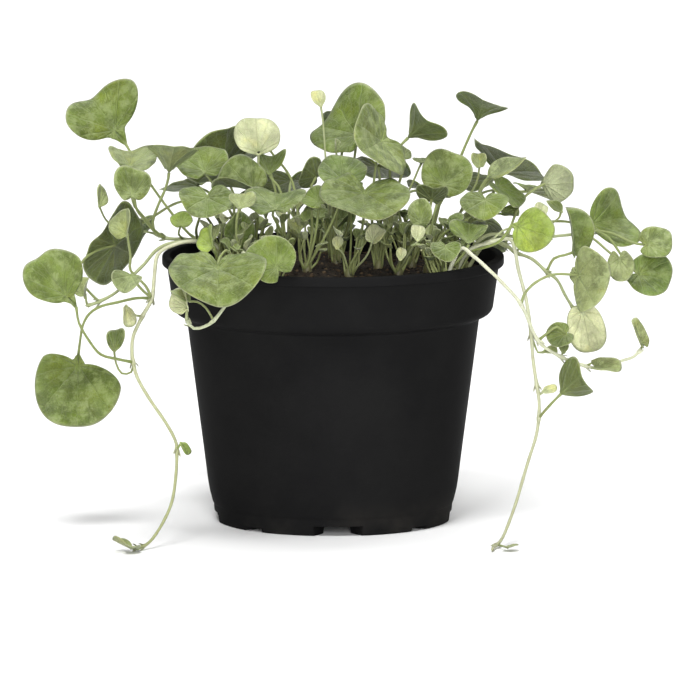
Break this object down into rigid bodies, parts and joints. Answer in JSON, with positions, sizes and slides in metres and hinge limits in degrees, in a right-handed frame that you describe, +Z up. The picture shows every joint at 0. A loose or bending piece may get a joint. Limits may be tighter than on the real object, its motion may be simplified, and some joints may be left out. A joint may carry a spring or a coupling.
{
  "type": "potted dichondra",
  "caption": "Potted dichondra: a trailing houseplant with small kidney-shaped leaves on thin stems, in a black plastic nursery pot filled with soil.",
  "frame": {"origin": "middle of the footprint of the whole plant and pot, on the surface that the pot stands on", "axes": "+Z up, +X across the plant to the right of its front, -Y out of the front; the front is the side with the large leaf over the rim"},
  "size_m": [0.199, 0.1634, 0.1331],
  "materials": {
    "black_plastic": "satin black",
    "soil": "crumbly dark potting soil",
    "left_trail": "soft leaf, finely hairy",
    "left_runner": "soft leaf, finely hairy",
    "left_upper": "soft leaf, finely hairy",
    "left_front": "soft leaf, finely hairy",
    "left_back": "soft leaf, finely hairy",
    "left_centre": "soft leaf, finely hairy",
    "front_left": "soft leaf, finely hairy",
    "front_runner": "soft leaf, finely hairy",
    "centre_tall": "soft leaf, finely hairy",
    "centre_left": "soft leaf, finely hairy",
    "centre_front": "soft leaf, finely hairy",
    "centre_twist": "soft leaf, finely hairy",
    "centre_right": "soft leaf, finely hairy",
    "right_tall": "soft leaf, finely hairy",
    "right_mid": "soft leaf, finely hairy",
    "right_rim": "soft leaf, finely hairy",
    "right_back": "soft leaf, finely hairy",
    "right_trail": "soft leaf, finely hairy",
    "pale_trail": "soft leaf, finely hairy",
    "right_runner": "soft leaf, finely hairy",
    "right_outer": "soft leaf, finely hairy",
    "back_left": "soft leaf, finely hairy",
    "back_inner_left": "soft leaf, finely hairy",
    "back_middle": "soft leaf, finely hairy",
    "back_inner_right": "soft leaf, finely hairy",
    "back_right": "soft leaf, finely hairy",
    "back_left_runner": "soft leaf, finely hairy",
    "back_trail": "soft leaf, finely hairy",
    "back_right_runner": "soft leaf, finely hairy"
  },
  "bodies": {
    "root": {"pot": "black_plastic", "soil": "soil", "left_trail": "left_trail", "left_runner": "left_runner", "left_upper": "left_upper", "left_front": "left_front", "left_back": "left_back", "left_centre": "left_centre", "front_left": "front_left", "front_runner": "front_runner", "centre_tall": "centre_tall", "centre_left": "centre_left", "centre_front": "centre_front", "centre_twist": "centre_twist", "centre_right": "centre_right", "right_tall": "right_tall", "right_mid": "right_mid", "right_rim": "right_rim", "right_back": "right_back", "right_trail": "right_trail", "pale_trail": "pale_trail", "right_runner": "right_runner", "right_outer": "right_outer", "back_left": "back_left", "back_inner_left": "back_inner_left", "back_middle": "back_middle", "back_inner_right": "back_inner_right", "back_right": "back_right", "back_left_runner": "back_left_runner", "back_trail": "back_trail", "back_right_runner": "back_right_runner"}
  },
  "joints": []
}
